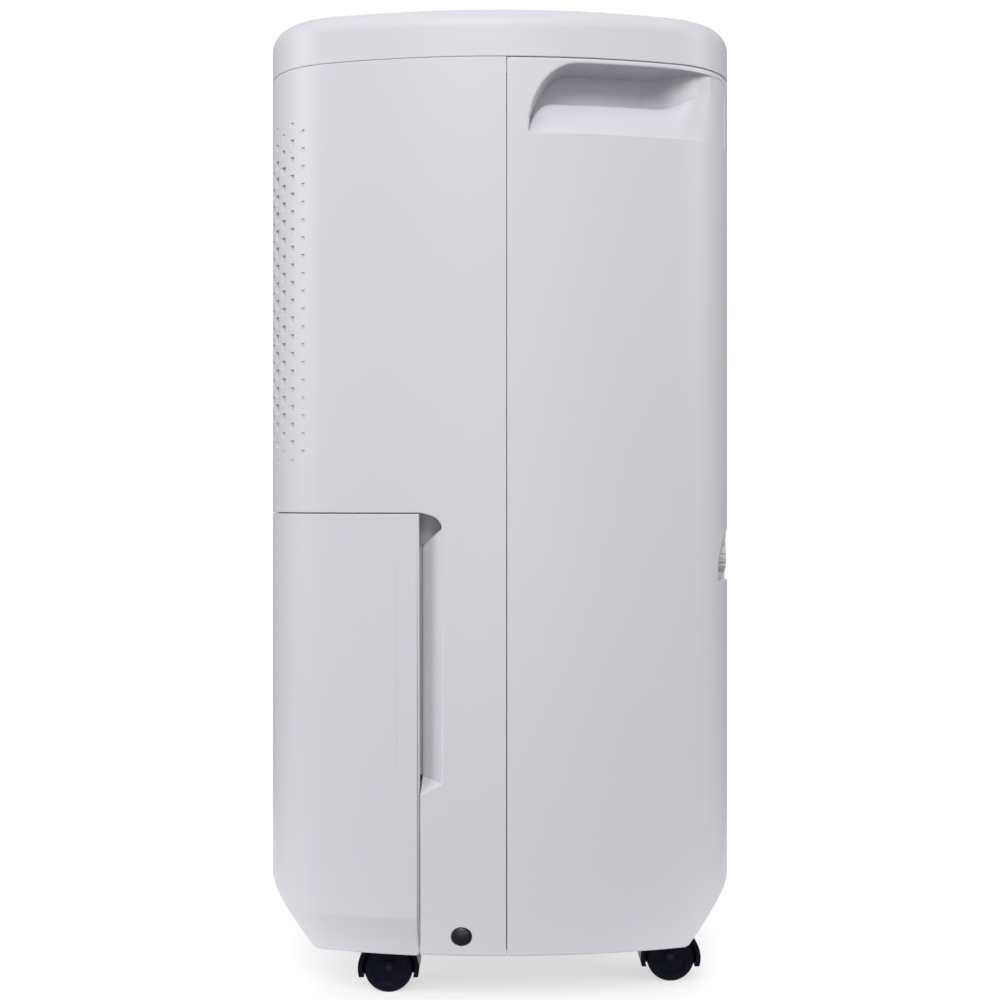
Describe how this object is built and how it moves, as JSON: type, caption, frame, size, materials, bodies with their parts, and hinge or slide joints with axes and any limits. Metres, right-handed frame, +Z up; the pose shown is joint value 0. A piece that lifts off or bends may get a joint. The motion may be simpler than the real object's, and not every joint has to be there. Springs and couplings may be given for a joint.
{
  "type": "portable dehumidifier",
  "caption": "Upright compressor dehumidifier on twin-wheel casters, with a pull-out front bucket, a perforated intake front, side hand holds and top controls.",
  "frame": {"origin": "on the floor under the middle of the body", "axes": "+Z up, -Y towards the intake grille and bucket, +X towards the left side of the unit"},
  "size_m": [0.38, 0.3, 0.602],
  "materials": {
    "shell_white": "fine satin moulding",
    "inner_white": "moulded",
    "inner_grey": "moulded",
    "black_plastic": "moulded",
    "panel_black": "glossy",
    "lens_dark": "smoked window",
    "button_grey": "soft touch",
    "tank_clear": "frosted translucent",
    "rubber_black": "matt",
    "wheel_black": "matt",
    "steel": "zinc plated",
    "painted_black": "semi-gloss",
    "aluminium_fin": "sheet",
    "copper": "drawn copper tube",
    "board_green": "circuit board",
    "mesh_grey": "woven nylon mesh"
  },
  "bodies": {
    "casing": {"base_pan": "inner_grey", "front_shell": "shell_white", "intake_grille": "shell_white", "rear_shell": "shell_white", "top_cover": "shell_white", "outlet_louvre": "shell_white", "control_panel": "panel_black", "display_lens": "lens_dark", "control_board": "board_green", "case_screws": "steel", "chassis": "inner_grey", "drip_tray": "inner_white", "drain_hose": "rubber_black", "drain_nozzle": "black_plastic", "evaporator_fins": "aluminium_fin", "evaporator_tubes": "copper", "condenser_fins": "aluminium_fin", "condenser_tubes": "copper", "compressor": "painted_black", "compressor_grommets": "rubber_black", "compressor_nuts": "steel", "refrigerant_pipes": "copper", "filter_drier": "copper", "fan_scroll": "black_plastic", "fan_motor": "steel", "electronics_box": "inner_grey", "power_board": "board_green", "run_capacitor": "steel", "float_switch": "black_plastic", "humidity_sensor": "inner_white", "cord_gland": "black_plastic", "caster_stems": "steel"},
    "power_button": {"power_button": "button_grey"},
    "mode_button": {"mode_button": "button_grey"},
    "fan_button": {"fan_button": "button_grey"},
    "up_button": {"up_button": "button_grey"},
    "down_button": {"down_button": "button_grey"},
    "bucket": {"bucket_panel": "shell_white", "bucket_tank": "tank_clear", "bucket_lid": "inner_white"},
    "bucket_handle": {"bucket_handle": "inner_grey"},
    "bucket_float": {"bucket_float": "inner_white"},
    "filter": {"filter_frame": "inner_grey", "filter_mesh": "mesh_grey"},
    "fan": {"fan_wheel": "black_plastic", "motor_shaft": "steel"},
    "drain_cap": {"drain_cap": "inner_white"},
    "side_plug": {"side_plug": "rubber_black"},
    "caster_fl": {"caster_fl_hood": "black_plastic"},
    "wheels_fl": {"caster_fl_axle": "painted_black", "caster_fl_wheels": "wheel_black"},
    "caster_fr": {"caster_fr_hood": "black_plastic"},
    "wheels_fr": {"caster_fr_axle": "painted_black", "caster_fr_wheels": "wheel_black"},
    "caster_rl": {"caster_rl_hood": "black_plastic"},
    "wheels_rl": {"caster_rl_axle": "painted_black", "caster_rl_wheels": "wheel_black"},
    "caster_rr": {"caster_rr_hood": "black_plastic"},
    "wheels_rr": {"caster_rr_axle": "painted_black", "caster_rr_wheels": "wheel_black"}
  },
  "joints": [
    {"name": "bucket_slide", "type": "slide", "parent": "casing", "child": "bucket", "axis": [0, -1, 0], "range_m": [0, 0.2]},
    {"name": "bucket_handle_hinge", "type": "hinge", "parent": "bucket", "child": "bucket_handle", "pos_m": [0, -0.084, 0.224], "axis": [1, 0, 0], "range_deg": [0, 85]},
    {"name": "bucket_float_hinge", "type": "hinge", "parent": "bucket", "child": "bucket_float", "pos_m": [0.096, -0.034, 0.22], "axis": [-1, 0, 0], "range_deg": [0, 10]},
    {"name": "filter_slide", "type": "slide", "parent": "casing", "child": "filter", "axis": [0, 0, -1], "range_m": [0, 0.05]},
    {"name": "fan_spin", "type": "hinge", "parent": "casing", "child": "fan", "pos_m": [-0.012, 0, 0.43], "axis": [0, 1, 0], "continuous": true},
    {"name": "power_press", "type": "slide", "parent": "casing", "child": "power_button", "axis": [0, 0, -1], "range_m": [0, 0.001], "stiffness_N_per_m": 800, "springref_m": -0.0005},
    {"name": "mode_press", "type": "slide", "parent": "casing", "child": "mode_button", "axis": [0, 0, -1], "range_m": [0, 0.001], "stiffness_N_per_m": 800, "springref_m": -0.0005},
    {"name": "fan_press", "type": "slide", "parent": "casing", "child": "fan_button", "axis": [0, 0, -1], "range_m": [0, 0.001], "stiffness_N_per_m": 800, "springref_m": -0.0005},
    {"name": "up_press", "type": "slide", "parent": "casing", "child": "up_button", "axis": [0, 0, -1], "range_m": [0, 0.001], "stiffness_N_per_m": 800, "springref_m": -0.0005},
    {"name": "down_press", "type": "slide", "parent": "casing", "child": "down_button", "axis": [0, 0, -1], "range_m": [0, 0.001], "stiffness_N_per_m": 800, "springref_m": -0.0005},
    {"name": "drain_cap_pull", "type": "slide", "parent": "casing", "child": "drain_cap", "axis": [0, 1, 0], "range_m": [0, 0.02]},
    {"name": "side_plug_pull", "type": "slide", "parent": "casing", "child": "side_plug", "axis": [1, 0, 0], "range_m": [0, 0.015]},
    {"name": "caster_fl_swivel", "type": "hinge", "parent": "casing", "child": "caster_fl", "pos_m": [0.142, -0.079, 0.025], "axis": [0, 0, 1], "continuous": true},
    {"name": "caster_fl_roll", "type": "hinge", "parent": "caster_fl", "child": "wheels_fl", "pos_m": [0.142, -0.069, 0.015], "axis": [1, 0, 0], "continuous": true},
    {"name": "caster_fr_swivel", "type": "hinge", "parent": "casing", "child": "caster_fr", "pos_m": [-0.142, -0.079, 0.025], "axis": [0, 0, 1], "continuous": true},
    {"name": "caster_fr_roll", "type": "hinge", "parent": "caster_fr", "child": "wheels_fr", "pos_m": [-0.142, -0.069, 0.015], "axis": [1, 0, 0], "continuous": true},
    {"name": "caster_rl_swivel", "type": "hinge", "parent": "casing", "child": "caster_rl", "pos_m": [0.119, 0.098, 0.025], "axis": [0, 0, 1], "continuous": true},
    {"name": "caster_rl_roll", "type": "hinge", "parent": "caster_rl", "child": "wheels_rl", "pos_m": [0.119, 0.108, 0.015], "axis": [1, 0, 0], "continuous": true},
    {"name": "caster_rr_swivel", "type": "hinge", "parent": "casing", "child": "caster_rr", "pos_m": [-0.119, 0.098, 0.025], "axis": [0, 0, 1], "continuous": true},
    {"name": "caster_rr_roll", "type": "hinge", "parent": "caster_rr", "child": "wheels_rr", "pos_m": [-0.119, 0.108, 0.015], "axis": [1, 0, 0], "continuous": true}
  ]
}
